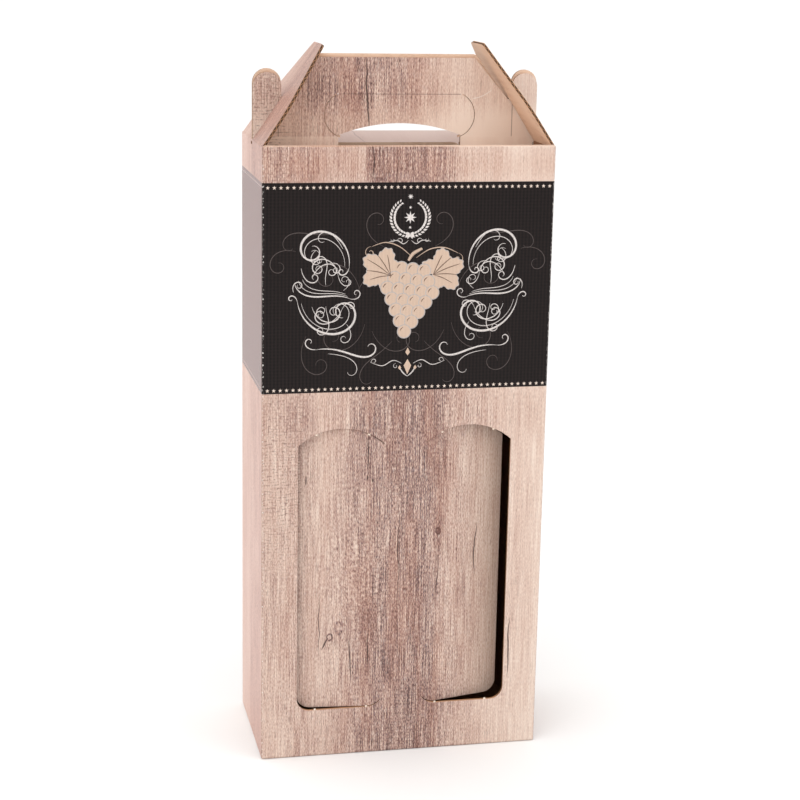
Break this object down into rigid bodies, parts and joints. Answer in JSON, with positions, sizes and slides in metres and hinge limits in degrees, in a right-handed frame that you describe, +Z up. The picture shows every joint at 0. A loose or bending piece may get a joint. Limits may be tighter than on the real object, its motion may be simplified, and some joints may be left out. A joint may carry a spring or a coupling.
{
  "type": "cardboard bottle carrier",
  "caption": "Folded corrugated carrier for wine bottles, with a slotted gable handle, side lock flaps, push-in arched window flaps and a hand-grip tongue.",
  "frame": {"origin": "on the floor, under the middle of the closed carton", "axes": "+Z up, the front with the windows faces -Y, +X to the right seen from the front"},
  "size_m": [0.16, 0.084, 0.3983],
  "materials": {
    "printed_board": "satin",
    "dark_print": "satin",
    "pale_print": "satin",
    "raw_board": "matte"
  },
  "bodies": {
    "carton": {"carton": "printed_board"},
    "left_window_flap": {"left_window_flap": "printed_board"},
    "right_window_flap": {"right_window_flap": "printed_board"},
    "grip_tongue": {"grip_tongue": "printed_board"}
  },
  "joints": [
    {"name": "left_window_crease", "type": "hinge", "parent": "carton", "child": "left_window_flap", "pos_m": [-0.012, -0.042, 0.108], "axis": [0, 0, -1], "range_deg": [-5.5, 84.5]},
    {"name": "right_window_crease", "type": "hinge", "parent": "carton", "child": "right_window_flap", "pos_m": [0.012, -0.042, 0.108], "axis": [0, 0, 1], "range_deg": [-14, 76]},
    {"name": "tongue_crease", "type": "hinge", "parent": "carton", "child": "grip_tongue", "pos_m": [0.0019, -0.00175, 0.3699], "axis": [1, 0, 0], "range_deg": [0, 90]}
  ]
}
